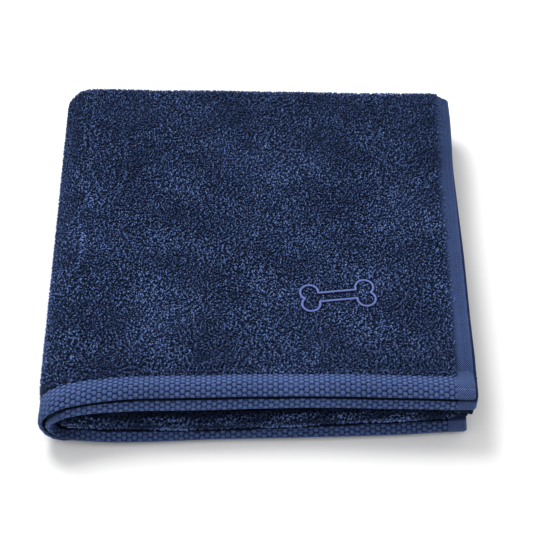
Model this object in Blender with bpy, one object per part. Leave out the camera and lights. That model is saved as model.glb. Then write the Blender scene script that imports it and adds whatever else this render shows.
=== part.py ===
"""A terry towel, folded in quarters along its length and then once side to side.

The towel is one piece of cloth, so it is one solid. It is laid out flat as a grid,
given its second face, and every point of it is then carried to its folded place.
The stack is seen from its front (-Y): both hems lie there, above the terry folds.
"""
import math

import bmesh
import bpy

# Driving dimensions of the folded towel, in metres
LAYER_PITCH = 0.0064        # from the middle of one layer to the middle of the next
TERRY_THICKNESS = 0.0053    # cloth with its loops, both faces
BORDER_THICKNESS = 0.0026   # flat woven border along each short end
HEM_THICKNESS = 0.0040      # border turned under and stitched
SELVEDGE_THICKNESS = 0.0028
BORDER_WIDTH = 0.026
HEM_WIDTH = 0.009
SELVEDGE_WIDTH = 0.014
BLEND = 0.005               # length over which the terry thins down to a border
STACK_LEFT = -0.1800        # outside of the side fold
STACK_FRONT = -0.1810       # nominal front line that the reaches below are added to
STACK_BACK = 0.1810         # outside of the folds at the back
BACK_SKEW = -0.010          # the back line leans this far forward for each metre to the right
RIGHT_TAPER = 0.008         # the right-hand ends draw in this far for each metre to the back

# Layers of one half of the stack, counted in pitches from the plane it is folded on
LEVELS = {"hem_a": 3.5, "hem_b": 2.5, "third": 1.5, "fourth": 0.5}
BORDERED = ("hem_a", "hem_b")
BACK_LEVEL = 2.0            # both folds at the back turn about this level
FRONT_LEVEL = 1.0           # the terry fold at the front turns about this one

HALF_HEIGHT = LEVELS["hem_a"] * LAYER_PITCH + TERRY_THICKNESS / 2
FOLD_CENTRE_X = STACK_LEFT + HALF_HEIGHT
BACK_CENTRE_Y = STACK_BACK - (1.5 * LAYER_PITCH + TERRY_THICKNESS / 2)
FRONT_REACH = 0.095         # the front edges wander over this depth of the stack
NOSE_THICKNESS = 0.35       # share of the full thickness left at the very edge of the cloth
NOSE_LENGTH = 0.0022        # the hem rounds off over this length

# Right-hand ends of the layers, in metres: x on top of the stack and x under it
RIGHT_ENDS = {
    # layer: (top, under)
    "hem_a": (0.1745, 0.1660),
    "hem_b": (0.1765, 0.1695),
    "third": (0.1760, 0.1715),
    "fourth": (0.1750, 0.1730),
}

# How far each front edge lies in front of STACK_FRONT, going from the right-hand end
# of the top over the side fold to the right-hand end of the underside, in millimetres
FRONT_EDGES = (
    # half, x in mm or turn in degrees, hem_a, hem_b, terry fold
    ("top", 175, 2.5, -0.5, 4.5),
    ("top", 110, 4.0, -2.5, 3.0),
    ("top", 35, 6.0, -0.5, 3.5),
    ("top", -50, 4.7, -2.8, 2.0),
    ("top", -105, 2.5, -4.0, 1.0),
    ("top", -150, -3.8, -7.0, -1.5),
    ("turn", 45, -7.0, -8.0, -3.0),
    ("turn", 90, -5.0, -6.5, -3.5),
    ("turn", 135, -5.5, -8.0, -4.0),
    ("under", -150, -5.5, -11.0, -3.5),
    ("under", -105, -1.0, -10.0, -3.0),
    ("under", -50, 0.5, -7.5, -2.5),
    ("under", 35, 2.0, -6.0, 0.5),
    ("under", 110, 4.0, -3.0, 2.5),
    ("under", 170, 6.0, -0.8, 4.5),
)
EDGE_COLUMN = {"hem_a": 2, "hem_b": 3, "third": 4, "fourth": 4}
FOLD_BEGINS = 150           # the side fold begins this far left of the middle, in millimetres
FOLD_LENGTH = 75            # length of cloth round the outside of the side fold, in millimetres

# How far each front edge sinks: in the upper half of the stack and in the lower half.
# The lowest hem sinks just far enough to lie level with the terry that the stack rests on.
SAG = {
    # layer: (upper, lower)
    "hem_a": (0.0022, 0.00065),
    "hem_b": (0.0024, 0.0015),
    "third": (0.0, 0.0),
    "fourth": (0.0, 0.0),
}
SAG_DEPTH = 0.030

# Soft unevenness of the top of the stack
CROWN_HEIGHT = 0.0007
CROWN_WAVES = ((1.0, 17.0, 9.0, 0.4), (0.6, -11.0, 23.0, 1.9), (0.4, 29.0, 31.0, 4.0))

# Stations along the cloth and round the stack
HEM_STATIONS = (0.0, 0.0009, 0.0026, 0.0060, 0.0090, 0.0120, 0.0210, 0.0260, 0.0310)
TERRY_STATIONS = (0.060, 0.095, 0.150, 0.220, 0.290)
HIDDEN_STATIONS = (0.030, 0.095, 0.220)
OUTER_TURN_STEPS = 10
INNER_TURN_STEPS = 6
TOP_STATIONS = (0.0, 0.004, 0.012, 0.030, 0.070, 0.120, 0.180, 0.240, 0.290)
FLAT_SPAN = 0.3250          # width that TOP_STATIONS are stated for
SIDE_TURN_STEPS = 10

CLOTH_COLOUR = (0.018, 0.029, 0.079, 1.0)
CLOTH_ROUGHNESS = 0.95


def smooth(value, start, end):
    """0 before start, 1 after end, and an easy curve between them."""
    t = min(1.0, max(0.0, (value - start) / (end - start)))
    return t * t * (3 - 2 * t)


def run(layer, distances, towards_back):
    """Stations of one straight layer, each with its distance from the front line."""
    ordered = sorted(distances, reverse=not towards_back)
    outward = 1.0 if towards_back else -1.0
    height = LEVELS[layer] * LAYER_PITCH
    return [((layer, layer, 0.0), STACK_FRONT + d, height, 0.0, outward) for d in ordered]


def turn(layers, centre_y, centre_level, radius, start, sweep, steps):
    """Stations of a fold: a half circle that leads from one layer into another."""
    side = 1.0 if sweep < 0 else -1.0
    stations = []
    for step in range(steps + 1):
        share = step / steps
        angle = math.radians(start + sweep * share)
        across = math.cos(angle)
        up = math.sin(angle)
        stations.append(((layers[0], layers[1], share), centre_y + radius * across,
                         centre_level * LAYER_PITCH + radius * up, side * across, side * up))
    return stations


def between(table, layers):
    """A value of one layer, or in a fold a value between those of its two layers."""
    first, second, share = layers
    return table(first) * (1 - share) + table(second) * share


def cloth_stations():
    """The path of the cloth through half of the stack, from hem a to hem b."""
    outer = 1.5 * LAYER_PITCH
    inner = 0.5 * LAYER_PITCH
    front_centre = STACK_FRONT + LAYER_PITCH
    path = run("hem_a", HEM_STATIONS + TERRY_STATIONS, True)
    path += turn(("hem_a", "fourth"), BACK_CENTRE_Y, BACK_LEVEL, outer, 90, -180, OUTER_TURN_STEPS)
    path += run("fourth", HIDDEN_STATIONS, False)
    path += turn(("fourth", "third"), front_centre, FRONT_LEVEL, inner, -90, -180, INNER_TURN_STEPS)
    path += run("third", HIDDEN_STATIONS, True)
    path += turn(("third", "hem_b"), BACK_CENTRE_Y, BACK_LEVEL, inner, -90, 180, INNER_TURN_STEPS)
    path += run("hem_b", HEM_STATIONS + HIDDEN_STATIONS[1:], False)
    return path


def side_stations():
    """The way round the stack: over the top, round the side fold and back underneath."""
    around = [("top", share) for share in TOP_STATIONS]
    around += [("turn", 180.0 * step / SIDE_TURN_STEPS) for step in range(SIDE_TURN_STEPS + 1)]
    around += [("under", share) for share in reversed(TOP_STATIONS)]
    return around


def way_round(half, value):
    """Millimetres travelled round the stack from above its middle, for FRONT_EDGES.

    The value is x in millimetres on the top and under it, and degrees in the side fold.
    """
    if half == "top":
        return -value
    if half == "turn":
        return FOLD_BEGINS + value / 180 * FOLD_LENGTH
    return FOLD_BEGINS + FOLD_LENGTH + FOLD_BEGINS + value


def front_offset(layer, half, x, degrees):
    """How far the front edge of a layer lies from STACK_FRONT at one place round the stack."""
    here = way_round(half, degrees if half == "turn" else x * 1000)
    column = EDGE_COLUMN[layer]
    rows = [(way_round(row[0], row[1]), row[column] / 1000) for row in FRONT_EDGES]
    if here <= rows[0][0]:
        return rows[0][1]
    for (left, low), (right, high) in zip(rows, rows[1:]):
        if here <= right:
            return low + (high - low) * smooth(here, left, right)
    return rows[-1][1]


def thickness(layers, y, from_side_edge):
    """Cloth thickness: thin at the borders and selvedges, thicker again at the hems."""
    side = smooth(from_side_edge, SELVEDGE_WIDTH - BLEND, SELVEDGE_WIDTH + BLEND)
    limit = SELVEDGE_THICKNESS + (TERRY_THICKNESS - SELVEDGE_THICKNESS) * side
    if layers[0] not in BORDERED or layers[2] > 0:
        return limit
    from_hem = y - STACK_FRONT
    leaves_hem = smooth(from_hem, HEM_WIDTH, HEM_WIDTH + BLEND)
    flat = HEM_THICKNESS + (BORDER_THICKNESS - HEM_THICKNESS) * leaves_hem
    terry = smooth(from_hem, BORDER_WIDTH - BLEND, BORDER_WIDTH + BLEND)
    value = min(limit, flat + (TERRY_THICKNESS - flat) * terry)
    nose = math.sqrt(smooth(from_hem, -NOSE_LENGTH / 4, NOSE_LENGTH))
    return value * max(NOSE_THICKNESS, nose)


def crown(x, y):
    """Slight rises and dips of a stack of soft cloth."""
    return CROWN_HEIGHT * sum(a * math.sin(fx * x + fy * y + phase) for a, fx, fy, phase in CROWN_WAVES)


def folded(station, place, outward):
    """Where one point of the flat cloth lies in the folded towel."""
    layers, y, height, normal_y, normal_h = station
    half, value = place
    lower = half == "under"
    end = between(lambda layer: RIGHT_ENDS[layer][lower], layers) - RIGHT_TAPER * (y - STACK_FRONT)
    x = FOLD_CENTRE_X if half == "turn" else end - (end - FOLD_CENTRE_X) * value / FLAT_SPAN
    from_side_edge = FLAT_SPAN if half == "turn" else end - x
    half_thick = thickness(layers, y, from_side_edge) / 2 * outward
    near_front = 1 - smooth(y, STACK_FRONT, STACK_FRONT + FRONT_REACH)
    placed_y = y + normal_y * half_thick
    placed_y += near_front * between(lambda layer: front_offset(layer, half, x, value), layers)
    placed_y += BACK_SKEW * x * smooth(y, 0.0, BACK_CENTRE_Y)
    reach = height + normal_h * half_thick
    angle = {"top": 0.0, "turn": math.radians(value), "under": math.pi}[half]
    placed_x = x - reach * math.sin(angle)
    placed_z = HALF_HEIGHT + reach * math.cos(angle)
    low_share = (1 - math.cos(angle)) / 2
    sag = between(lambda layer: SAG[layer][0] * (1 - low_share) + SAG[layer][1] * low_share, layers)
    placed_z -= sag * (1 - smooth(y, STACK_FRONT, STACK_FRONT + SAG_DEPTH))
    placed_z += crown(placed_x, placed_y) * smooth(placed_z, LAYER_PITCH, 2 * HALF_HEIGHT)
    return placed_x, placed_y, placed_z


def build_cloth():
    """The towel as a flat grid with two faces, then folded."""
    stations = cloth_stations()
    places = side_stations()
    columns = len(stations)
    rows = len(places)
    bm = bmesh.new()
    bmesh.ops.create_grid(bm, x_segments=columns - 1, y_segments=rows - 1, size=1.0)
    second_face = bmesh.ops.extrude_face_region(bm, geom=bm.faces[:])
    raised = [item for item in second_face["geom"] if isinstance(item, bmesh.types.BMVert)]
    bmesh.ops.translate(bm, verts=raised, vec=(0.0, 0.0, 1.0))
    for vert in bm.verts:
        column = round((vert.co.x + 1) / 2 * (columns - 1))
        row = round((vert.co.y + 1) / 2 * (rows - 1))
        outward = 1.0 if vert.co.z > 0.5 else -1.0
        vert.co = folded(stations[column], places[row], outward)
    return bm


def centre_on_base(bm):
    """Puts the origin at the bottom centre of the folded towel."""
    low = [min(vert.co[axis] for vert in bm.verts) for axis in range(3)]
    high = [max(vert.co[axis] for vert in bm.verts) for axis in range(3)]
    shift = (-(low[0] + high[0]) / 2, -(low[1] + high[1]) / 2, -low[2])
    bmesh.ops.translate(bm, verts=bm.verts[:], vec=shift)


def cloth_material():
    """Navy cotton terry."""
    material = bpy.data.materials.new("navy_terry")
    material.use_nodes = True
    shader = material.node_tree.nodes["Principled BSDF"]
    shader.inputs["Base Color"].default_value = CLOTH_COLOUR
    shader.inputs["Roughness"].default_value = CLOTH_ROUGHNESS
    shader.inputs["Metallic"].default_value = 0.0
    return material


def clear_scene():
    for item in list(bpy.data.objects):
        bpy.data.objects.remove(item, do_unlink=True)


def main():
    clear_scene()
    bm = build_cloth()
    centre_on_base(bm)
    mesh = bpy.data.meshes.new("towel")
    bm.to_mesh(mesh)
    bm.free()
    mesh.materials.append(cloth_material())
    mesh.shade_smooth()
    towel = bpy.data.objects.new("towel", mesh)
    bpy.context.scene.collection.objects.link(towel)


main()
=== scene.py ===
"""Folded dog towel: the visual model.

One length of terry cloth is folded in quarters along its length and then once side to
side. Every piece is laid out on the flat cloth first and then carried to its folded
place, so the loops, the woven borders and the stitching all follow the same folds.
"""
import math

import bmesh
import bpy
import numpy as np
from bpy.props import FloatProperty, FloatVectorProperty, IntProperty, PointerProperty
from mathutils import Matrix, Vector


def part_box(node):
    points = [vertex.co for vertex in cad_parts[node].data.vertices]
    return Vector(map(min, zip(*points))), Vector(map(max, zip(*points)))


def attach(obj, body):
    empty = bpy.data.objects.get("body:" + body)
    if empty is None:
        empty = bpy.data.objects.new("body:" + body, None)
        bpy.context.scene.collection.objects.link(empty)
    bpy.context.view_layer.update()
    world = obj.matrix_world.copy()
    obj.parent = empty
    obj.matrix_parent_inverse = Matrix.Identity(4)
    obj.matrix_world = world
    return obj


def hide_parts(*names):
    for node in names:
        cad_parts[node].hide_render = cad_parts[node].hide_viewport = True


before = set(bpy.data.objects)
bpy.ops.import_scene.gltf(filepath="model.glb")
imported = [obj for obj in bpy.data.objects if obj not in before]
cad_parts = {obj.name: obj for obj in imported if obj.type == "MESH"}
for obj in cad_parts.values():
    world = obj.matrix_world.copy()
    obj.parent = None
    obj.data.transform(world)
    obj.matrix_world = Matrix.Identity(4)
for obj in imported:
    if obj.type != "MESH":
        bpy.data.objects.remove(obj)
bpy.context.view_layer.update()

bl_info = {
    "name": "Folded Dog Towel",
    "version": (1, 0, 0),
    "blender": (4, 5, 0),
    "location": "3D View > Sidebar > Towel",
    "description": "Builds a folded terry towel with woven borders, pile and stitching",
    "category": "Object",
}

MM = 0.001

# Levels of one half of the stack's four layers, from the outside in, and of the middles of
# its folds, in layer pitches from the middle of the stack
LEVELS = (3.5, 2.5, 1.5, 0.5)
OUTER_FOLD_LEVEL = 2.0
FRONT_FOLD_LEVEL = 1.0

# Right-hand ends of the four layers
RIGHT_ENDS_TOP = np.array((174.5, 177.3, 174.0, 173.0)) * MM
RIGHT_ENDS_UNDER = np.array((166.5, 170.3, 170.5, 171.5)) * MM
TOP_END, UNDER_END = 0.1745, 0.1660     # where the way round begins and ends
RIGHT_TAPER = 0.008         # the ends draw in this far for each metre to the back
RIGHT_FLARE = 2.5 * MM      # and come out again this far at the back
HEM_B_SLANT = 2.4 * MM      # the right end of hem b draws in this far toward its edge,
HEM_B_SLANT_LENGTH = 0.011  # over this length of cloth
NUB_SAG = 3.6 * MM          # the right end of the upper terry fold hangs this far down
BACK_SKEW = -0.010          # the back leans this far forward for each metre to the right
BACK_LEFT_REACH = 2.2 * MM  # and its left end reaches this much further back

# The stack in its own place before it is moved onto the CAD model, in metres
STACK_LEFT = -0.1800
STACK_FRONT = -0.1810
STACK_BACK = 0.1810
CAD_HALF_CLOTH = 0.00265
FRONT_REACH = 0.095         # the front edges wander over this depth of the stack
CORNER_WIDTH = 0.016        # the back corners at the open side round off over this width
CORNER_PULL = 0.0060        # and lie this far forward at their very end
CORNER_DROP = 0.0022        # and this far down
PILE_INSIDE = 0.4 * MM      # the side fold's loops are spaced this far inside the stack
FLOOR_GAP = 0.03 * MM       # nothing lies lower than this

# The front edges, going from the right-hand end of the top over the side fold (155 to
# 230 mm of the way) to the right-hand end of the underside. All in millimetres
FRONT_EDGES = np.array((
    # way round, front of hem a, hem b and terry fold, droop of hem a and hem b
    (-175, 6.2, 2.8, 1.4, 5.5, 8.2),
    (-150, 7.0, 3.1, 6.8, 5.5, 8.2),
    (-110, 8.6, 4.4, 9.0, 5.8, 8.5),
    (-35, 11.0, 6.2, 10.0, 5.5, 8.5),
    (50, 9.9, 3.8, 8.5, 5.5, 8.5),
    (105, 7.4, 2.2, 7.0, 5.5, 8.5),
    (138, 2.1, -2.2, 4.6, 4.4, 6.3),
    (155, -2.5, -6.6, 2.6, 3.6, 4.9),
    (165, -5.8, -9.8, 1.3, 2.7, 3.6),
    (177, -7.7, -10.8, 0.0, 1.4, 1.9),
    (193, -6.3, -9.2, 0.0, 0.0, 0.0),
    (211, -6.5, -8.0, 0.0, 0.0, 0.4),
    (230, -5.0, -8.1, 0.0, 0.3, 2.0),
    (262, 1.0, -9.0, -2.2, 0.5, 4.0),
    (295, 1.4, -7.7, -2.6, 0.75, 5.2),
    (345, 2.2, -5.1, -2.2, 0.75, 5.5),
    (420, 3.0, -3.2, 1.3, 0.75, 5.5),
    (495, 5.0, -0.7, 5.5, 0.75, 5.5),
    (532, 5.6, 1.8, 7.6, 0.75, 5.5),
    (555, 6.0, 2.8, 9.5, 0.75, 5.5),
))
FOLD_BEGINS = 155           # where the side fold begins on the way round, in millimetres
FOLD_WAY = 75               # how much of the way round the side fold takes

# The droop of hem a and hem b: its length, how much longer it is on top, and its power. The
# slope of the cloth there is never more than the steepest
DROOPS = ((13.0 * MM, 0.0, 1.8), (18.0 * MM, 1.0 * MM, 1.6))
STEEPEST = 0.95

# Rise and dip of hem a on top: height, distance from its edge, and width
HEM_WAVES = ((0.9 * MM, 10.5 * MM, 5.0 * MM), (-2.4 * MM, 24.5 * MM, 8.0 * MM))
FOLD_REST = 3.8 * MM        # the lower terry fold sinks this far onto the border under it,
FOLD_REST_LENGTH = 0.030    # over this depth
NUB_LENGTH = 0.026          # the sag at the right end of the upper one takes this length

# The stitched motif: where its middle lies on the cloth, from the right-hand end and from
# hem a, how far it turns, and its bone shape (half shaft height, place and radius of a lobe)
MOTIF_ACROSS = 0.108
MOTIF_ALONG = 0.109
MOTIF_TURN = math.radians(7)
MOTIF_SHAFT = 4.6 * MM
MOTIF_LOBE = (23.5 * MM, 6.3 * MM, 7.6 * MM)
MOTIF_CLEAR = 1.9 * MM      # no loops stand this close to its outline

# Tone of the painted shade on cloth that something covers, which is the lowest tone there is.
# The painted shade's edge follows what covers the cloth, as seen by an eye that looks back and
# down by these shares
PAINTED_SHADE_TONE = -0.3
LOOK_BACK, LOOK_DOWN = 0.76, 0.65

# Half thickness of the woven selvedge, with its rolled edge and its sunk stitch line, at
# these distances from the edge of the cloth
SELVEDGE_MARKS = np.array((0, 0.3, 0.9, 1.6, 2.4, 4.2, 4.9, 5.4, 6.2, 9.0, 12.0, 14.0)) * MM
SELVEDGE_RISES = np.array((0.30, 0.95, 1.40, 1.50, 1.38, 1.25, 0.80, 0.80, 1.25, 1.32, 1.25,
                           1.05)) * MM
SELVEDGE_STITCHES = 5.1 * MM    # from the edge of the cloth to its line of stitches
HEM_STITCHES = 7.6 * MM         # and the same at a hem
STITCH_PITCH = 3.1 * MM
LOOP_KINDS = 6              # the pile repeats this many different loops
LOOP_SEGMENTS = 2           # and each is spun in this many steps
BODY_BEGINS = 23.5 * MM     # the terry body's cloth begins this far from each hem's edge,
PILE_BEGINS = 23.2 * MM     # and its loops here
HEM_THICK = 1.9 * MM        # half thickness of the turned hem
THIN_CLOTH = 0.8 * MM       # half thickness of the cloth where the border covers it
INNER_CLOTH = 2.3 * MM      # half thickness of the cloth inside the stack, loops and all

# The studio: how far the floor lies under the towel, the light and the camera, whose lens is
# in pixels of the square picture
FLOOR_DROP = 0.4 * MM
WORLD_LIGHT = 0.86
KEY_PLACE = (-0.82, 1.25, 2.1)
KEY_SIZE, KEY_POWER = 1.1, 54.0
PICTURE = 533
LENS_PIXELS, SHIFT_PIXELS = 1790, 2.4
SENSOR = 36.0
CAMERA_PLACE = (0.00775, -1.0233, 1.208)
CAMERA_DOWN = math.radians(49.6)

# Soft rises and dips of the top of the stack: their height, and each wave's share, waves
# along x and y, and phase
SOFT_HEIGHT = 0.7 * MM
SOFT_WAVES = ((1.0, 17.0, 9.0, 0.4), (0.6, -11.0, 23.0, 1.9), (0.4, 29.0, 31.0, 4.0),
              (0.22, 71.0, -48.0, 1.1), (0.20, 55.0, 83.0, 2.7), (0.12, 140.0, 96.0, 0.3))


def ease(value, start, end):
    """0 before start, 1 after end and an easy curve between them."""
    t = np.clip((value - start) / (end - start), 0.0, 1.0)
    return t * t * (3 - 2 * t)


def bell(value, middle, width):
    """1 at the middle, falling off on both sides of it."""
    return np.exp(-((value - middle) / width) ** 2)


def painted_shade(tone, unshaded):
    """Painted shade on cloth: its tone where only this share of it is left out of the shade."""
    return tone * unshaded + PAINTED_SHADE_TONE * (1 - unshaded)


def follow(way, column):
    """One column of FRONT_EDGES at any place on the way round, in metres."""
    rows, values = FRONT_EDGES[:, 0], FRONT_EDGES[:, column]
    slopes = np.zeros(len(rows))
    slopes[1:-1] = (values[2:] - values[:-2]) / (rows[2:] - rows[:-2])
    index = np.clip(np.searchsorted(rows, way) - 1, 0, len(rows) - 2)
    gap = rows[index + 1] - rows[index]
    t = np.clip((way - rows[index]) / gap, 0.0, 1.0)
    bend = (slopes[index] * (1 - t) - slopes[index + 1] * t) * gap * t * (1 - t)
    share = ease(t, 0.0, 1.0)
    return (values[index] * (1 - share) + values[index + 1] * share + bend) * MM


class FoldedCloth:
    """Carries points of the flat cloth to their folded place.

    A point is (s, r, rise): s metres along the cloth from hem a, r the way round the
    stack (0 to 1 on top, 1 to 2 in the side fold, 2 to 3 underneath), and rise metres
    off the middle of the cloth.
    """

    def __init__(self, sizes):
        pitch = sizes.layer_pitch
        self.pitch = pitch
        self.half_height = LEVELS[0] * pitch + CAD_HALF_CLOTH
        self.pile_reach = self.half_height - PILE_INSIDE
        self.fold_x = STACK_LEFT + self.half_height
        self.back_y = STACK_BACK - (1.5 * pitch + CAD_HALF_CLOTH)
        self.front_y = STACK_FRONT + pitch
        low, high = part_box("towel")
        back_outside = STACK_BACK + BACK_SKEW * self.fold_x
        self.shift = np.array((low[0] - STACK_LEFT, high[1] - back_outside, low[2]))
        hem_run = self.back_y - STACK_FRONT
        inner_run = self.back_y - self.front_y
        self.parts = [
            # (length, first layer, second layer, fold centre, level, radius, start, sweep)
            (hem_run, 0, 0, None, LEVELS[0], 1.0, 0, 0),
            (math.pi * 1.5 * pitch, 0, 3, self.back_y, OUTER_FOLD_LEVEL, 1.5 * pitch, 90, -180),
            (inner_run, 3, 3, None, LEVELS[3], -1.0, 0, 0),
            (math.pi * 0.5 * pitch, 3, 2, self.front_y, FRONT_FOLD_LEVEL, 0.5 * pitch, -90, -180),
            (inner_run, 2, 2, None, LEVELS[2], 1.0, 0, 0),
            (math.pi * 0.5 * pitch, 2, 1, self.back_y, OUTER_FOLD_LEVEL, 0.5 * pitch, -90, 180),
            (hem_run, 1, 1, None, LEVELS[1], -1.0, 0, 0),
        ]
        self.starts = np.concatenate(([0.0], np.cumsum([part[0] for part in self.parts])))
        self.length = self.starts[-1]
        self.top_span = TOP_END - self.fold_x
        self.under_span = UNDER_END - self.fold_x

    def path(self, s):
        """Middle of the cloth at s: y, reach, the section's normal and each layer's share."""
        y, reach, normal_y, normal_h = np.zeros((4, *s.shape))
        share = np.zeros((*s.shape, 4))
        last = len(self.parts) - 1
        for number, part in enumerate(self.parts):
            length, first, second, centre, level, radius, start, sweep = part
            here = (s >= self.starts[number]) & (s < self.starts[number + 1])
            if number == 0:
                here |= s < 0
            if number == last:
                here |= s >= self.length
            along = s[here] - self.starts[number]
            if centre is None:
                front = STACK_FRONT if first in (0, 1) else self.front_y
                y[here] = front + along if radius > 0 else self.back_y - along
                reach[here] = level * self.pitch
                normal_h[here] = radius
                share[here, first] = 1.0
            else:
                turned = along / length
                angle = np.radians(start + sweep * turned)
                side = 1.0 if sweep < 0 else -1.0
                y[here] = centre + radius * np.cos(angle)
                reach[here] = level * self.pitch + radius * np.sin(angle)
                normal_y[here] = side * np.cos(angle)
                normal_h[here] = side * np.sin(angle)
                share[here, first] = 1 - turned
                share[here, second] = turned
        return y, reach, normal_y, normal_h, share

    def droop(self, way, from_hem, share, upright):
        """Slope and sag of the drooping ends of the two hem layers, and how much shorter they
        come out at each place and at their very edge."""
        slope, sag, shorter, shorter_edge = np.zeros((4, *way.shape))
        for layer, (length, longer_on_top, power) in enumerate(DROOPS):
            drop = follow(way, 4 + layer)
            length = length + longer_on_top * np.maximum(upright, 0)
            t = np.clip(1 - from_hem / length, 0.0, 1.0)
            steep = drop * power / length
            part = share[..., layer]
            slope += part * steep * t ** (power - 1)
            sag += part * drop * t ** power
            long, longer = 2 * power - 1, 4 * power - 3
            edge = steep ** 2 / 2 * length / long, steep ** 4 / 8 * length / longer
            shorter += part * (edge[0] * t ** long + edge[1] * t ** longer)
            shorter_edge += part * (edge[0] + edge[1])
        return np.clip(slope, -STEEPEST, STEEPEST), sag, shorter, shorter_edge

    def place(self, s, r, rise):
        """Folded place of each point, as an array of x, y, z."""
        s, r, rise = np.broadcast_arrays(np.asarray(s, float), np.asarray(r, float),
                                         np.asarray(rise, float))
        y, reach, normal_y, normal_h, share = self.path(s)
        angle = np.clip(r - 1, 0, 1) * np.pi
        upright, sideways = np.cos(angle), np.sin(angle)
        draw_in = RIGHT_TAPER * (y - STACK_FRONT) - RIGHT_FLARE * ease(y, 0.05, 0.15)
        from_hem = np.minimum(s, self.length - s)
        beyond = share @ (RIGHT_ENDS_TOP - RIGHT_ENDS_TOP[0]) * (1 - ease(y, 0.03, 0.11))
        slant = HEM_B_SLANT * share[..., 1] * np.clip(1 - from_hem / HEM_B_SLANT_LENGTH, 0, 1)
        end_top = RIGHT_ENDS_TOP[0] + beyond - draw_in - slant
        end_under = share @ RIGHT_ENDS_UNDER - draw_in
        x = np.where(r < 1, end_top + (self.fold_x - end_top) * r,
                     self.fold_x + (end_under - self.fold_x) * np.maximum(r - 2, 0))
        way = np.where(r < 1, -x / MM, FOLD_BEGINS + np.clip(r - 1, 0, 1) * FOLD_WAY
                       + np.maximum(x / MM + FOLD_BEGINS, 0) * (r > 2))
        front = (share[..., 0] * follow(way, 1) + share[..., 1] * follow(way, 2)
                 + (share[..., 2] + share[..., 3]) * follow(way, 3))
        slope, sag, shorter, shorter_edge = self.droop(way, from_hem, share, upright)
        level = np.sqrt(1 - slope ** 2)
        tilt = share[..., 0] + share[..., 1] > 0.999
        normal_y = np.where(tilt, -slope * upright * normal_h, normal_y)
        normal_h = np.where(tilt, level * normal_h, normal_h)
        near_front = 1 - ease(y, STACK_FRONT, STACK_FRONT + FRONT_REACH)
        placed_y = y + near_front * (front - shorter_edge) + shorter + normal_y * rise
        placed_y = placed_y + BACK_SKEW * x * ease(y, 0.0, self.back_y)
        back_left = ease(-x, 0.080, 0.145) * ease(y, 0.10, self.back_y)
        placed_y = placed_y + BACK_LEFT_REACH * back_left
        corner = np.clip(1 - self.right_edge_distance(r) / CORNER_WIDTH, 0, 1) ** 1.7
        corner = corner * ease(y, self.back_y - 0.030, self.back_y + 0.006)
        placed_y = placed_y - CORNER_PULL * corner
        from_front = np.clip(1 - (y - self.front_y + 0.5 * self.pitch) / FOLD_REST_LENGTH, 0, 1)
        inner = (share[..., 2] + share[..., 3]) * from_front ** 1.5
        sag += FOLD_REST * inner * np.maximum(-upright, 0)
        nub = 1 - ease(self.right_edge_distance(r), 0.0, NUB_LENGTH)
        sag += NUB_SAG * inner * nub * np.maximum(upright, 0)
        reach = reach + normal_h * rise
        placed_x = x - reach * sideways
        placed_z = self.half_height + reach * upright - sag
        wave = sum(height * bell(from_hem, *where) for height, *where in HEM_WAVES)
        placed_z = placed_z + wave * share[..., 0] * np.maximum(upright, 0)
        placed_z = placed_z - CORNER_DROP * corner * upright
        height = ease(placed_z, self.pitch, 2 * self.half_height)
        wave = sum(a * np.sin(fx * placed_x + fy * placed_y + phase)
                   for a, fx, fy, phase in SOFT_WAVES)
        placed_z = np.maximum(placed_z + SOFT_HEIGHT * wave * height, FLOOR_GAP)
        return np.stack((placed_x, placed_y, placed_z), axis=-1) + self.shift

    def below(self, s, r, radius, places):
        """How far places lie below a rounded edge, of this radius around the line at s, seen
        from in front of the towel and above."""
        line = self.place(np.full(r.shape, s), r, 0.0)
        return (line - places)[..., 1] * LOOK_BACK + (line - places)[..., 2] * LOOK_DOWN - radius

    def right_edge_distance(self, r):
        """Metres from the nearer right-hand end of a layer."""
        return np.where(r < 1, r * self.top_span, np.where(r > 2, (3 - r) * self.under_span, 0.2))

    def way_step(self, r, reach):
        """How far r moves for one metre across a layer that reaches this far from the middle."""
        turn = 1 / (math.pi * reach)
        return np.where(r < 1, 1 / self.top_span, np.where(r < 2, turn, 1 / self.under_span))

    def to_metres(self, r, reach):
        """Metres across a layer that reaches this far, from its right-hand end on top."""
        turn = math.pi * reach
        walked = np.where(r < 1, r * self.top_span, self.top_span + (r - 1) * turn)
        return np.where(r > 2, self.top_span + turn + (r - 2) * self.under_span, walked)

    def to_way(self, across, reach):
        """The way round the stack at metres across a layer that reaches this far."""
        turn = math.pi * reach
        way = np.where(across < self.top_span, across / self.top_span,
                       1 + (across - self.top_span) / turn)
        return np.where(way > 2, 2 + (across - self.top_span - turn) / self.under_span, way)

    def unroll(self, first, last, number, rise):
        """Distances along the outside of a fold and of the cloth before and after it, and
        the places on the middle of the cloth that they belong to."""
        begin, end = self.starts[number], self.starts[number + 1]
        radius = self.parts[number][5]
        middle = np.array((first, begin, end, last))
        turn = (end - begin) * (radius + rise) / radius
        return np.cumsum((0.0, begin - first, turn, last - end)), middle


# Making meshes

def fresh_object(name, data):
    """A new object of a mesh, a light or a camera, at the origin of the scene."""
    piece = bpy.data.objects.new(name, data)
    bpy.context.scene.collection.objects.link(piece)
    return piece


def mesh_of(bm, name):
    """The finished bmesh as a mesh."""
    mesh = bpy.data.meshes.new(name)
    bm.to_mesh(mesh)
    bm.free()
    return mesh


def grid_row(coordinates, count):
    """Which of count rows each coordinate of a grid between -1 and 1 belongs to."""
    return np.rint((coordinates + 1) / 2 * (count - 1)).astype(int)


def finish_piece(mesh, material):
    """A piece of this mesh with its material, smooth shading and body."""
    piece = fresh_object(mesh.name, mesh)
    mesh.materials.append(material)
    mesh.shade_smooth()
    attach(piece, "root")
    return piece


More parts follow.
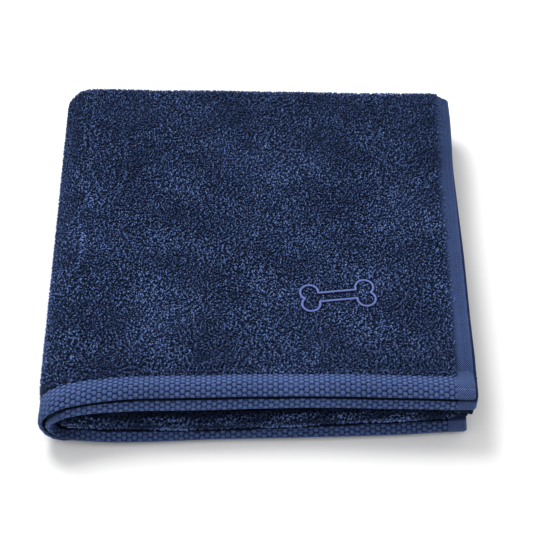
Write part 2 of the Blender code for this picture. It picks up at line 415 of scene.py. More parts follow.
def point_values(mesh, **values):
    """Stores a number or a vector for every point of a mesh, under each of these names."""
    for name, value in values.items():
        kind, field = ("FLOAT", "value") if value.ndim == 1 else ("FLOAT_VECTOR", "vector")
        attribute = mesh.attributes.new(name, kind, "POINT")
        attribute.data.foreach_set(field, value.astype(np.float32).ravel())


def flat_place(across, along):
    """Places on the flat cloth as vectors."""
    return np.stack((across, along, np.zeros_like(along)), axis=-1)


def move_points(mesh, places):
    """Sets the place of every point of a mesh."""
    mesh.vertices.foreach_set("co", places.astype(np.float32).ravel())
    mesh.update()


def read_points(mesh):
    """The place of every point of a mesh."""
    values = np.zeros(len(mesh.vertices) * 3, np.float32)
    mesh.vertices.foreach_get("co", values)
    return values.reshape(-1, 3).astype(float)


def scatter(name, template, count, points):
    """One mesh with a copy of the template for each row of points."""
    corners = [list(face.vertices) for face in template.polygons]
    sizes = np.array([len(face) for face in corners], np.int32)
    flat = np.concatenate(corners).astype(np.int64)
    per_copy = len(template.vertices)
    shifts = np.arange(count, dtype=np.int64) * per_copy
    indices = (flat[None, :] + shifts[:, None]).ravel()
    mesh = bpy.data.meshes.new(name)
    mesh.vertices.add(count * per_copy)
    mesh.vertices.foreach_set("co", points.astype(np.float32).ravel())
    mesh.loops.add(len(indices))
    mesh.loops.foreach_set("vertex_index", indices.astype(np.int32))
    totals = np.tile(sizes, count)
    begins = np.concatenate(([0], np.cumsum(totals)[:-1])).astype(np.int32)
    mesh.polygons.add(len(totals))
    mesh.polygons.foreach_set("loop_start", begins)
    mesh.update(calc_edges=True)
    return mesh


# Materials

def add_node(tree, kind, place, inputs=None, **settings):
    """A shader node with its settings. Each of inputs is a value, or the socket of another
    node that feeds it."""
    node = tree.nodes.new(kind)
    node.location = place
    for key, value in settings.items():
        setattr(node, key, value)
    for socket, value in (inputs or {}).items():
        if isinstance(value, bpy.types.NodeSocket):
            tree.links.new(value, node.inputs[socket])
        else:
            node.inputs[socket].default_value = value
    return node


def add_step(tree, place, operation, *values, kind="ShaderNodeMath", result="Value"):
    """The result of one step of arithmetic on sockets and numbers."""
    node = add_node(tree, kind, place, dict(enumerate(values)), operation=operation)
    return node.outputs[result]


def add_vector_step(tree, place, operation, *values):
    """The result of one step of arithmetic on vectors."""
    result = "Value" if operation == "LENGTH" else "Vector"
    return add_step(tree, place, operation, *values, kind="ShaderNodeVectorMath", result=result)


def new_group(name, inputs, outputs):
    """A shader node group with its sockets, and whether it was there already."""
    if name in bpy.data.node_groups:
        return bpy.data.node_groups[name], True
    group = bpy.data.node_groups.new(name, "ShaderNodeTree")
    for socket, kind, default in inputs:
        item = group.interface.new_socket(socket, in_out="INPUT", socket_type="NodeSocket" + kind)
        item.default_value = default
    for socket, kind in outputs:
        group.interface.new_socket(socket, in_out="OUTPUT", socket_type="NodeSocket" + kind)
    return group, False


def cloudy_shade_group():
    """Soft uneven shade of dyed cotton: a colour that drifts between three of its tones."""
    group, ready = new_group(
        "Cloudy Shade",
        [("Deep", "Color", (0, 0, 0, 1)), ("Body", "Color", (0, 0, 0, 1)),
         ("Bright", "Color", (1, 1, 1, 1)), ("Tone", "Float", 0.5),
         ("Cloud Size", "Float", 17.0), ("Cloud Amount", "Float", 0.35),
         ("Speckle Size", "Float", 420.0), ("Speckle Amount", "Float", 0.25)],
        [("Color", "Color"), ("Tone", "Float")])
    if ready:
        return group
    come = add_node(group, "NodeGroupInput", (-900, 0)).outputs
    spot = add_node(group, "ShaderNodeTexCoord", (-900, -300)).outputs["Object"]
    total = come["Tone"]
    for row, (kind, detail) in enumerate((("Cloud", 4.0), ("Speckle", 2.0))):
        y = -150 - 250 * row
        noise = add_node(group, "ShaderNodeTexNoise", (-650, y),
                         {"Vector": spot, "Scale": come[kind + " Size"], "Detail": detail})
        centred = add_step(group, (-400, y), "SUBTRACT", noise.outputs["Fac"], 0.5)
        total = add_step(group, (-220, y), "MULTIPLY_ADD", centred, come[kind + " Amount"], total)
    low = add_node(group, "ShaderNodeMapRange", (0, 150), {"Value": total, "From Max": 0.5})
    high = add_node(group, "ShaderNodeMapRange", (0, -100), {"Value": total, "From Min": 0.5})
    darker = add_node(group, "ShaderNodeMix", (220, 150),
                      {0: low.outputs[0], 6: come["Deep"], 7: come["Body"]}, data_type="RGBA")
    colour = add_node(group, "ShaderNodeMix", (440, 50),
                      {0: high.outputs[0], 6: darker.outputs[2], 7: come["Bright"]},
                      data_type="RGBA")
    add_node(group, "NodeGroupOutput", (700, 0), {"Color": colour.outputs[2], "Tone": total})
    return group


def twill_weave_group():
    """Fine diagonal twill on the cloth's own coordinates: a height and a tone."""
    group, ready = new_group(
        "Twill Weave",
        [("Vector", "Vector", (0, 0, 0)), ("Yarn Width", "Float", 0.0008),
         ("Unevenness", "Float", 0.25)],
        [("Height", "Float"), ("Tone", "Float")])
    if ready:
        return group
    come = add_node(group, "NodeGroupInput", (-900, 0)).outputs
    yarns = add_vector_step(group, (-700, 0), "DIVIDE", come["Vector"], come["Yarn Width"])
    parts = add_node(group, "ShaderNodeSeparateXYZ", (-520, 0), {0: yarns}).outputs
    diagonal = add_step(group, (-340, 100), "ADD", parts[0], parts[1])
    turn = add_step(group, (-160, 100), "MULTIPLY", diagonal, math.pi)
    ridge = add_step(group, (20, 100), "SINE", turn)
    turn = add_step(group, (-160, -100), "MULTIPLY", parts[1], 2 * math.pi)
    bead = add_step(group, (20, -100), "SINE", turn)
    both = add_step(group, (200, 50), "MULTIPLY_ADD", bead, 0.45, ridge)
    noise = add_node(group, "ShaderNodeTexNoise", (-340, -300), {"Scale": 0.6, "Vector": yarns})
    rough = add_step(group, (380, 0), "MULTIPLY_ADD", noise.outputs["Fac"], come["Unevenness"],
                     both)
    tone = add_node(group, "ShaderNodeMapRange", (540, -150),
                    {"Value": rough, "From Min": -1.4, "From Max": 1.6})
    add_node(group, "NodeGroupOutput", (700, 0), {"Height": rough, "Tone": tone.outputs[0]})
    return group


def honeycomb_group():
    """Crisp grooves between honeycomb cells: 0 in a groove and 1 on a cell. Each of the two
    lattices of cell centres gives the distances to its two nearest centres."""
    group, ready = new_group(
        "Honeycomb Grooves",
        [("Vector", "Vector", (0, 0, 0)), ("Cell Size", "Vector", (0.008, 0.004, 1)),
         ("Groove Width", "Float", 0.0005)],
        [("Cell", "Float")])
    if ready:
        return group
    come = add_node(group, "NodeGroupInput", (-1100, 0)).outputs
    size = come["Cell Size"]
    share = add_vector_step(group, (-900, 0), "DIVIDE", come["Vector"], size)
    row = add_vector_step(group, (-900, -300), "MULTIPLY", size, (0.0, 1.0, 0.0))
    near, far = [], []
    for y, half in ((200, 0.5), (-200, 0.0)):
        moved = add_vector_step(group, (-700, y), "ADD", share, (half, half, 0.5))
        wrapped = add_vector_step(group, (-600, y), "FRACTION", moved)
        centred = add_vector_step(group, (-480, y), "SUBTRACT", wrapped, (0.5, 0.5, 0.5))
        apart = add_vector_step(group, (-350, y), "MULTIPLY", centred, size)
        near.append(add_vector_step(group, (-200, y), "LENGTH", apart))
        apart = add_vector_step(group, (-200, y - 150), "ABSOLUTE", apart)
        apart = add_vector_step(group, (-80, y - 150), "SUBTRACT", row, apart)
        far.append(add_vector_step(group, (50, y - 150), "LENGTH", apart))
    nearest = add_step(group, (250, 200), "MINIMUM", *near)
    second = add_step(group, (250, 0), "MAXIMUM", *near)
    second = add_step(group, (400, 0), "MINIMUM", second,
                      add_step(group, (250, -200), "MINIMUM", *far))
    gap = add_step(group, (550, 100), "SUBTRACT", second, nearest)
    soft = add_node(group, "ShaderNodeMapRange", (720, 100),
                    {"Value": gap, "From Max": come["Groove Width"]},
                    interpolation_type="SMOOTHSTEP")
    add_node(group, "NodeGroupOutput", (900, 0), {"Cell": soft.outputs[0]})
    return group


def add_relief(tree, x, height, **values):
    """Adds a bump of this height to the normal of a cotton material."""
    normal = tree.nodes["Principled BSDF"].inputs["Normal"]
    inputs = {"Height": height, **values}
    if normal.is_linked:
        inputs["Normal"] = normal.links[0].from_socket
    bump = add_node(tree, "ShaderNodeBump", (x, -300), inputs)
    tree.links.new(bump.outputs["Normal"], normal)


def add_weave(tree, yarn_width, depth, share):
    """Adds twill relief of this depth to a cotton material, and a share of its tone."""
    place = add_node(tree, "ShaderNodeAttribute", (-1100, -300), attribute_name="cloth_place")
    weave = add_node(tree, "ShaderNodeGroup", (-900, -300),
                     {"Vector": place.outputs["Vector"], "Yarn Width": yarn_width},
                     node_tree=twill_weave_group())
    mask = add_node(tree, "ShaderNodeAttribute", (-1100, -600), attribute_name="plain_weave")
    amount = add_node(tree, "ShaderNodeMapRange", (-900, -600),
                      {"Value": mask.outputs["Fac"], "To Min": share * 0.12, "To Max": share})
    centred = add_step(tree, (-780, -150), "SUBTRACT", weave.outputs["Tone"], 0.5)
    tone = tree.nodes["Cotton Shade"].inputs["Tone"]
    woven = add_step(tree, (-650, 0), "MULTIPLY_ADD", centred, amount.outputs[0],
                     tone.links[0].from_socket)
    tree.links.new(woven, tone)
    add_relief(tree, -200, weave.outputs["Height"], Distance=depth, Strength=0.8)


def add_grooves(tree, sizes, depth, keep):
    """Adds the honeycomb's crisp grooves to the border's relief, and painted shade in them to
    its tone. A groove keeps this share of the tone, and noise closes some of them in part."""
    place = add_node(tree, "ShaderNodeAttribute", (-1500, 500), attribute_name="cell_place")
    mask = add_node(tree, "ShaderNodeAttribute", (-1500, 250), attribute_name="plain_weave")
    cells = add_node(tree, "ShaderNodeGroup", (-1250, 450),
                     {"Vector": place.outputs["Vector"],
                      "Cell Size": (sizes.cell_width, sizes.cell_height, 1.0),
                      "Groove Width": sizes.groove_width},
                     node_tree=honeycomb_group())
    coords = add_node(tree, "ShaderNodeTexCoord", (-1700, 800))
    noise = add_node(tree, "ShaderNodeTexNoise", (-1500, 800),
                     {"Scale": 330.0, "Vector": coords.outputs["Object"]})
    closed = add_node(tree, "ShaderNodeMapRange", (-1250, 800),
                      {"Value": noise.outputs["Fac"], "From Min": 0.48, "From Max": 0.72,
                       "To Max": 0.75})
    cell = add_step(tree, (-1150, 600), "MAXIMUM", cells.outputs["Cell"], closed.outputs[0])
    cell = add_step(tree, (-1050, 400), "MAXIMUM", cell, mask.outputs["Fac"])
    kept = add_node(tree, "ShaderNodeMapRange", (-880, 400), {"Value": cell, "To Min": keep})
    tone = tree.nodes["Cotton Shade"].inputs["Tone"]
    dimmed = add_step(tree, (-520, 250), "MULTIPLY", kept.outputs[0], tone.links[0].from_socket)
    tree.links.new(dimmed, tone)
    add_relief(tree, -20, cell, Distance=depth)


def add_fuzz(tree, size, depth):
    """Adds the fine fuzz of cotton fibres as relief of this depth."""
    coords = add_node(tree, "ShaderNodeTexCoord", (-700, -300))
    noise = add_node(tree, "ShaderNodeTexNoise", (-500, -300),
                     {"Vector": coords.outputs["Object"], "Scale": size, "Detail": 3.0})
    add_relief(tree, -200, noise.outputs["Fac"], Distance=depth, Strength=0.7)


def cotton_material(name, tones, *reliefs, clouds, speckle, roughness, sheen):
    """A cotton material of three tones, from deep to bright, made when it is first asked
    for. Its tone comes from the piece's own point values, and each of reliefs is a function
    that adds to it, with that function's values."""
    if name in bpy.data.materials:
        return bpy.data.materials[name]
    material = bpy.data.materials.new(name)
    material.use_nodes = True
    tree = material.node_tree
    deep, body, bright = ((*tone, 1.0) for tone in tones)
    shader = tree.nodes["Principled BSDF"].inputs
    shader["Roughness"].default_value = roughness
    shader["Sheen Weight"].default_value = sheen
    shader["Sheen Roughness"].default_value = 0.45
    shader["Sheen Tint"].default_value = bright
    shader["Specular IOR Level"].default_value = 0.08
    tone = add_node(tree, "ShaderNodeAttribute", (-900, 100), attribute_name="tone")
    shade = add_node(tree, "ShaderNodeGroup", (-400, 200),
                     {"Deep": deep, "Body": body, "Bright": bright, "Cloud Amount": clouds,
                      "Speckle Amount": speckle, "Tone": tone.outputs["Fac"]},
                     node_tree=cloudy_shade_group(), name="Cotton Shade")
    tree.links.new(shade.outputs["Color"], shader["Base Color"])
    for add, *values in reliefs:
        add(tree, *values)
    return material


def terry_material(colours):
    """Navy loops of the pile, with painted shade at their roots."""
    tones = colours.pile_root_shade, colours.pile_body, colours.pile_tip
    return cotton_material("navy terry pile", tones, (add_fuzz, 2600.0, 0.12 * MM),
                           clouds=0.30, speckle=0.32, roughness=0.85, sheen=0.25)


def cloth_material(colours):
    """Ground cloth between the loops, and the woven selvedges."""
    tones = colours.pile_root_shade, colours.border_body, colours.border_bright
    return cotton_material("navy ground cloth", tones, (add_weave, 0.90 * MM, 0.25 * MM, 1.0),
                           clouds=0.30, speckle=0.20, roughness=0.9, sheen=0.2)


def border_material(sizes, colours):
    """Flat woven cotton of the borders."""
    tones = colours.border_deep_shade, colours.border_body, colours.border_bright
    return cotton_material("navy border weave", tones, (add_weave, 0.90 * MM, 0.30 * MM, 2.2),
                           (add_grooves, sizes, 0.6 * MM, 0.03),
                           clouds=0.25, speckle=0.50, roughness=0.85, sheen=0.2)


def thread_material(name, tones, roughness, sheen):
    """Sewing or satin thread."""
    return cotton_material(name, tones, (add_fuzz, 3200.0, 0.06 * MM),
                           clouds=0.2, speckle=0.5, roughness=roughness, sheen=sheen)


# The cloth itself

def cloth_stations(cloth):
    """Distances along the cloth at which the body has points, few of them out of sight."""
    starts = cloth.starts
    hem_side = np.array((23.5, 25, 26.5, 28, 30, 33, 38)) * MM
    unseen = np.array((0.02, 0.07, 0.15, 0.26))
    return np.sort(np.concatenate((
        hem_side, np.linspace(45 * MM, starts[1] - 0.003, 38),
        np.linspace(starts[1], starts[2], 17),
        starts[2] + 0.343 - unseen, np.linspace(starts[3] - 0.008, starts[3], 3)[:-1],
        np.linspace(starts[3], starts[4], 11),
        starts[4] + np.array((0.004, 0.008)), starts[4] + unseen,
        np.linspace(starts[5], starts[6], 9),
        cloth.length - np.array((0.32, 0.26, 0.16, 0.09, 0.05)), cloth.length - hem_side)))


def round_stations(cloth):
    """Places round the stack at which the body has points, close together at the ends."""
    edge = np.array((0, 0.25, 0.7, 1.3, 2.1, 3.2, 4.5, 5.0, 5.4, 6.0, 7.5, 9.5, 11.5, 13, 14.5,
                     16.5, 20)) * MM
    inside = 30 * MM
    return np.concatenate((
        edge / cloth.top_span, np.linspace(inside / cloth.top_span, 1, 28)[:-1],
        np.linspace(1, 2, 19),
        np.linspace(2, 3 - inside / cloth.under_span, 24)[1:],
        3 - edge[::-1] / cloth.under_span))


def build_cloth(sizes, colours):
    """The one length of cloth, without its borders, loops and stitching."""
    cloth = FoldedCloth(sizes)
    stations, rounds = cloth_stations(cloth), round_stations(cloth)
    bm = bmesh.new()
    bmesh.ops.create_grid(bm, x_segments=len(stations) - 1, y_segments=len(rounds) - 1, size=1.0)
    second_face = bmesh.ops.extrude_face_region(bm, geom=bm.faces[:])
    raised = [item for item in second_face["geom"] if isinstance(item, bmesh.types.BMVert)]
    bmesh.ops.translate(bm, verts=raised, vec=(0.0, 0.0, 1.0))
    mesh = mesh_of(bm, "towel_cloth")
    flat = read_points(mesh)
    s = stations[grid_row(flat[:, 0], len(stations))]
    r = rounds[grid_row(flat[:, 1], len(rounds))]
    outer = flat[:, 2] > 0.5
    edge = cloth.right_edge_distance(r)
    from_hem = np.minimum(s, cloth.length - s)
    front_fold = outer & (s > cloth.starts[3] - 0.012) & (s < cloth.starts[4] + 0.012)
    has_loops = front_fold | outer & (s < cloth.starts[2])
    start = ease(from_hem, BODY_BEGINS, 30 * MM)
    full = np.where(has_loops, sizes.ground_rise, INNER_CLOTH)
    full = THIN_CLOTH + (full - THIN_CLOTH) * start
    rim = np.interp(edge, SELVEDGE_MARKS, SELVEDGE_RISES)
    rim = np.minimum(rim, THIN_CLOTH + THIN_CLOTH * start)
    rise = rim + (full - rim) * ease(edge, 12.5 * MM, 16.5 * MM)
    rise = np.where(edge < 0.2 * MM, SELVEDGE_RISES[0], rise)
    wander = 0.18 * MM * np.sin(s * 1150) + 0.12 * MM * np.sin(s * 2300 + 1)
    wander = np.where(edge < 1.4 * MM, wander * np.where(r < 1, 1, -1), 0)
    r_moved = r + wander * cloth.way_step(r, cloth.pile_reach)
    move_points(mesh, cloth.place(s, r_moved, np.where(outer, rise, -rise)))
    # The selvedge's tone falls a little toward the back. The cloth under the loops takes the
    # deepest tone, painted shade deep in the pile
    tone = (0.275 - 0.075 * ease(s, 0.10, 0.36)) * (1 - ease(edge, 10 * MM, 17 * MM))
    tone = tone - 0.14 * bell(edge, SELVEDGE_STITCHES, 0.6 * MM)
    # painted highlight along the rolled edge
    tone = tone + 0.10 * bell(edge, 0.9 * MM, 0.7 * MM)
    # painted shade on the layers inside the stack, past the back fold and more past the next one,
    # and on the front fold
    tone = tone * np.where(s > cloth.starts[1], 0.55, 1.0)
    tone = tone * np.where(s > cloth.starts[2], 0.35, 1.0) - np.where(front_fold, 0.10, 0.0)
    plain = np.where(front_fold, 0.1, 1 - ease(edge, 10 * MM, 16 * MM))
    point_values(mesh, tone=np.clip(tone, PAINTED_SHADE_TONE, 1), plain_weave=plain,
                 cloth_place=flat_place(r * cloth.top_span, s))
    return finish_piece(mesh, cloth_material(colours))


# Woven borders

def border_section(dense_to, inner_dense):
    """Places on a border's section, from its tucked end over the outer face, round the
    turned hem and back along the inner face: (distance from the hem edge, rise, distance
    walked from the tip of the hem). They are worked out in millimetres and given in metres."""
    outer = list(np.arange(28.0, dense_to, -1.6)) + list(np.arange(dense_to, 1.9, -0.54))
    points = [(d, 1.2 + 0.3 * float(1 - ease(d, 7.0, 9.0))) for d in outer]
    for step in range(8):
        angle = math.radians(90 + 180 * step / 7)
        points.append((1.9 + 1.9 * math.cos(angle), -0.4 + 1.9 * math.sin(angle)))
    if inner_dense:
        inner = list(np.arange(2.4, dense_to, 0.54)) + list(np.arange(dense_to + 1.0, 28.1, 2.9))
    else:
        inner = (4.0, 7.0, 8.6, 9.4, 12.0, 18.0, 24.0, 28.0)
    for d in inner:
        points.append((d, -2.3 + 1.1 * float(ease(d, 8.4, 9.6))))
    points = np.array(points) * MM
    walked = np.concatenate(([0.0], np.cumsum(np.hypot(*np.diff(points, axis=0).T))))
    tip = walked[len(outer)] + math.pi * 0.95 * MM
    return np.column_stack((points, tip - walked))


def honeycomb(across, along, sizes):
    """Height of the honeycomb weave, 0 in a groove and 1 on a cell, from its distance to
    the two nearest cell centres."""
    wide, tall = sizes.cell_width, sizes.cell_height
    u, v = across / wide, along / tall
    nearest = np.full(u.shape, 9.0)
    second = np.full(u.shape, 9.0)
    for half in (0.0, 0.5):
        base_u, base_v = np.floor(u - half), np.floor(v - half)
        for step_u in (0, 1):
            for step_v in (0, 1):
                du = (u - half - base_u - step_u) * wide
                dv = (v - half - base_v - step_v) * tall
                gap = np.sqrt(du * du + dv * dv) / tall
                second = np.minimum(second, np.maximum(nearest, gap))
                nearest = np.minimum(nearest, gap)
    groove = ease(second - nearest, 0.02, 0.42)
    dome = 1 - 0.50 * np.clip(nearest / 0.6, 0, 1) ** 2
    return groove * dome


def border_tube(name, columns, rows):
    """A closed tube with this many columns round it and rows along it, and the column and
    the row of each of its points."""
    bm = bmesh.new()
    bmesh.ops.create_grid(bm, x_segments=columns, y_segments=rows - 1, size=1.0)
    for vert in bm.verts:
        turn = round((vert.co.x + 1) / 2 * columns) % columns / columns * 2 * math.pi
        vert.co = (math.cos(turn), vert.co.y, math.sin(turn))
    bmesh.ops.remove_doubles(bm, verts=bm.verts[:], dist=1e-6)
    bmesh.ops.holes_fill(bm, edges=[edge for edge in bm.edges if edge.is_boundary], sides=0)
    bmesh.ops.recalc_face_normals(bm, faces=bm.faces[:])
    mesh = mesh_of(bm, name)
    flat = read_points(mesh)
    turned = np.arctan2(flat[:, 2], flat[:, 0]) / (2 * math.pi) * columns
    return mesh, np.rint(turned).astype(int) % columns, grid_row(flat[:, 1], rows)


def outer_border_tone(tone, r, over, from_hem, edge):
    """Paints shade on the inner face of the border on the outside of the stack, and on its
    tucked end under the loops."""
    past_tip = -over - 1.3 * MM * ease(r, 1.15, 1.4) * (1 - ease(r, 1.75, 1.95))
    unshaded = 1 - ease(past_tip, 0.4 * MM, 1.1 * MM)
    tucked = ease(from_hem, 22.0 * MM, PILE_BEGINS) * ease(edge, 11 * MM, 15 * MM)
    return painted_shade(tone, unshaded * (1 - tucked))


def inner_border_tone(tone, cloth, r, over, walked, woven, places):
    """Paints shade on the border inside the stack round the side fold and on the underside, and
    painted shadow where the border over it and, underneath, the terry fold over it cover it."""
    fold_shade = 0.32 * ease(r, 1.45, 1.7) * (1 - ease(r, 1.98, 2.10))
    tone = tone * (1 - (0.08 + 0.21 * woven) * ease(r, 1.5, 1.8) - fold_shade)
    unshaded = ease(cloth.below(HEM_THICK, r, HEM_THICK, places), 1.9 * MM, 2.4 * MM)
    behind = cloth.place(np.full(r.shape, 0.2 * MM), r, 0.0)[:, 1] - places[:, 1]
    unshaded = unshaded + (ease(behind, -0.1 * MM, 0.6 * MM) - unshaded) * ease(r, 1.02, 1.25)
    tone = painted_shade(tone, np.where((over > -1 * MM) & (r < 2), unshaded, 1.0))
    middle = cloth.starts[3] + math.pi * cloth.pitch / 4
    # the edge of the painted shadow under the terry fold wanders a little
    uneven = 0.4 * MM * wandering(walked, over * 0, 71, 4 * MM)
    unshaded = ease(cloth.below(middle, r, 3.4 * MM, places) + uneven, 1.2 * MM, 1.9 * MM)
    unshaded = 1 - (1 - unshaded) * ease(r, 1.6, 2.0)
    return painted_shade(tone, np.where(over < -1 * MM, unshaded, 1.0))


def build_border(sizes, colours, name, inner, dense_to, under_step):
    """A flat woven border with its turned hem, along one short end of the cloth: hem a on
    the outside of the stack or hem b, the inner one, whose hem shows both its faces. Its
    points are close together up to dense_to millimetres from the hem's edge, and
    under_step apart along the underside."""
    cloth = FoldedCloth(sizes)
    section = border_section(dense_to, inner)
    step = sizes.cell_width / 12
    reach = LEVELS[1 if inner else 0] * cloth.pitch
    end = np.array((0, 0.25, 0.6, 1.1)) * MM
    top = np.concatenate((end, np.arange(1.7 * MM, cloth.top_span, step))) / cloth.top_span
    turn = np.linspace(1, 2, int(math.pi * reach / step))
    under = np.concatenate((end, np.arange(1.7 * MM, cloth.under_span - step, under_step)))
    under = 3 - under[::-1] / cloth.under_span
    rounds = np.concatenate((top, turn, under))
    mesh, column, row = border_tube(name, len(section), len(rounds))
    r = rounds[row]
    from_hem, rise, over = section[column].T
    edge = cloth.right_edge_distance(r)
    walked = cloth.to_metres(r, reach)
    across = walked + sizes.cell_width * 0.21
    cells = honeycomb(across, over + 0.4 * MM, sizes)
    # painted light on the cells' slopes: lighter where they face the back, darker where they face
    # the front
    slope_light = honeycomb(across, over, sizes) - honeycomb(across, over + 0.8 * MM, sizes)
    woven = ease(edge, 14.6 * MM, 15.8 * MM) * ease(27 * MM - from_hem, 0, 1.5 * MM)
    if inner:
        woven = woven * (1 - 0.85 * ease(r, 1.01, 1.15) * (1 - ease(r, 1.30, 1.45)))
    else:
        woven = woven * (over > -2.5 * MM) * (1 - 0.4 * ease(r, 1.02, 1.3))
    relief = (cells - 0.75) * sizes.groove_depth * woven * np.sign(rise + 0.4 * MM)
    rise = rise * np.sqrt(np.clip(edge / (1.2 * MM), 0.03, 1.0)) + relief
    corner = np.clip(1 - edge / (3.2 * MM), 0, 1) ** 2 * np.clip(1 - from_hem / (9 * MM), 0, 1)
    from_hem = from_hem + 1.6 * MM * corner
    if inner:
        places = cloth.place(cloth.length - from_hem, r, -rise)
    else:
        places = cloth.place(from_hem, r, rise)
    move_points(mesh, places)
    # painted highlight along the rolled edge, and a lighter line along the hem's stitches
    rim = 0.22 * bell(edge, 0.9 * MM, 0.8 * MM) + 0.12 * bell(from_hem, HEM_STITCHES, 0.7 * MM)
    # Painted light and shade: the outer border is lighter on top, away from its drooping hem, its
    # cells are lighter and its grooves darker, and its slopes are lit from the back
    lit = 0.37 if inner else 0.30 + 0.15 * ease(from_hem, 8 * MM, 14 * MM)
    lit = lit + 0.32 * cells + 0.14 * np.clip(slope_light, -1, 1)
    tone = woven * lit + (0.345 + rim) * (1 - woven)
    # painted highlight along the rounded tip of the hem
    tone = tone + 0.10 * bell(over, -0.2 * MM, 1.6 * MM)
    if inner:
        tone = inner_border_tone(tone, cloth, r, over, walked, woven, places)
    else:
        tone = outer_border_tone(tone, r, over, from_hem, edge)
    point_values(mesh, tone=np.clip(tone, PAINTED_SHADE_TONE, 1), plain_weave=1 - woven,
                 cloth_place=flat_place(walked, over),
                 cell_place=flat_place(across, over + 0.4 * MM))
    return finish_piece(mesh, border_material(sizes, colours))


# Pile

def loop_template(sizes, number):
    """One yarn loop of the pile, spun from a three-sided ring and then bent."""
    bm = bmesh.new()
    ring = bmesh.ops.create_circle(bm, cap_ends=False, segments=3, radius=sizes.yarn_radius)
    radius = sizes.loop_span / 2
    bmesh.ops.translate(bm, verts=ring["verts"], vec=(radius, 0.0, 0.0))
    bmesh.ops.spin(bm, geom=bm.verts[:] + bm.edges[:], cent=(0, 0, 0), axis=(0, 1, 0),
                   angle=-math.pi * 1.1, steps=LOOP_SEGMENTS, use_merge=False)
    bmesh.ops.holes_fill(bm, edges=[edge for edge in bm.edges if edge.is_boundary], sides=0)
    bmesh.ops.recalc_face_normals(bm, faces=bm.faces[:])
    bend = np.random.default_rng(900 + number)
    curl, tilt = bend.uniform(-0.5, 0.5), bend.uniform(0.2, 0.7)
    for vert in bm.verts:
        x, y, z = vert.co
        share = max(0.0, z / (radius + sizes.yarn_radius))
        thick = 0.62 + 0.55 * share
        from_middle = math.hypot(x, z)
        stretch = (radius + (from_middle - radius) * thick) / from_middle
        x, y, z = x * stretch, y * thick, z * stretch
        y += curl * x + tilt * share * radius + 0.35 * radius * math.sin(2.2 * x / radius)
        vert.co = (x, y, z)
    return mesh_of(bm, "loop")


def wandering(x, y, seed, size):
    """A smooth field between about -1 and 1 whose patches are about size metres wide."""
    numbers = np.random.default_rng(seed)
    total = np.zeros(x.shape)
    for _ in range(7):
        angle, phase = numbers.uniform(0, 2 * math.pi, 2)
        wave = 2 * math.pi / (size * numbers.uniform(1.2, 3.0))
        total += np.sin(wave * (x * math.cos(angle) + y * math.sin(angle)) + phase)
    return total / 2.6


def sow(width, length, pitch, seed):
    """Jittered places over a field, in metres."""
    numbers = np.random.default_rng(seed)
    x, y = np.meshgrid(np.arange(0, width, pitch), np.arange(0, length, pitch * 0.866))
    x = x + (np.arange(len(x)) % 2)[:, None] * pitch / 2
    x = x + numbers.uniform(-0.3, 0.3, x.shape) * pitch
    y = y + numbers.uniform(-0.3, 0.3, y.shape) * pitch
    return x.ravel(), y.ravel()


def build_pile(sizes, colours, name, s, r, seed, height=1.0, shade=1.0, fade=1.5, spread=1.0,
               reach=None, unrolled=None):
    """Loops at the places s and r on the cloth, joined into one piece. The loops are height
    times as high and spread times as wide as their sizes say, shade is their brightness and
    a larger fade carries the painted shade at their roots further up. The cloth there reaches
    this far from the middle of the stack. Where the places are on the outside of a fold,
    unrolled holds its distances, and s is one of them."""
    cloth = FoldedCloth(sizes)
    numbers = np.random.default_rng(seed)
    kind = numbers.integers(0, LOOP_KINDS, len(s))
    heights, shades = np.broadcast_to(height, s.shape), np.broadcast_to(shade, s.shape)
    steps = cloth.way_step(r, reach or cloth.pile_reach)
    across = r * cloth.top_span
    drift = wandering(across, s, 41, 0.018) * 1.5 + wandering(across, s, 42, 0.05) * 1.2
    lie = wandering(across, s, 43, 0.03)
    tones = []
    bm = bmesh.new()
    for number in range(LOOP_KINDS):
        template = loop_template(sizes, number)
        x, y, z = read_points(template).T[:, None]
        here = kind == number
        count = int(here.sum())
        yaw = numbers.uniform(-0.6, 0.6, count) + drift[here]
        yaw = (yaw + np.where(numbers.random(count) < 0.5, math.pi, 0))[:, None]
        size = numbers.uniform(0.85, 1.2, count)[:, None]
        tall = numbers.uniform(0.75, 1.15, count) * heights[here]
        lean = numbers.uniform(0.1, 0.9, count) + 0.25 * lie[here]
        x, y, z = x * size * spread, y * size * spread, z * tall[:, None]
        y = y + z * lean[:, None]
        wide = x * np.cos(yaw) - y * np.sin(yaw)
        deep = x * np.sin(yaw) + y * np.cos(yaw)
        s_here = s[here][:, None] + deep
        if unrolled is not None:
            s_here = np.interp(s_here, *unrolled)
        lift = z * sizes.loop_height / (sizes.loop_span / 2 + sizes.yarn_radius)
        points = cloth.place(s_here, r[here][:, None] + wide * steps[here][:, None],
                             sizes.ground_rise + lift)
        share = np.clip(lift / sizes.loop_height, 0, 1)
        patch = numbers.uniform(-0.16, 0.16, count)[:, None] + 0.08 * lie[here][:, None]
        # painted shade: each loop is darkest at its roots and lightest at its tip
        tone = share ** fade * (0.86 + patch) * shades[here][:, None]
        tones.append(np.clip(tone, 0, 1).ravel())
        loops = scatter("loops", template, count, points)
        bm.from_mesh(loops)
        bpy.data.meshes.remove(loops)
        bpy.data.meshes.remove(template)
    mesh = mesh_of(bm, name)
    point_values(mesh, tone=np.concatenate(tones))
    return finish_piece(mesh, terry_material(colours))


def pile_shade(s):
    """Brightness of the loops, which falls a little toward the back."""
    return 1.04 - 0.16 * ease(s, 0.16, 0.36)


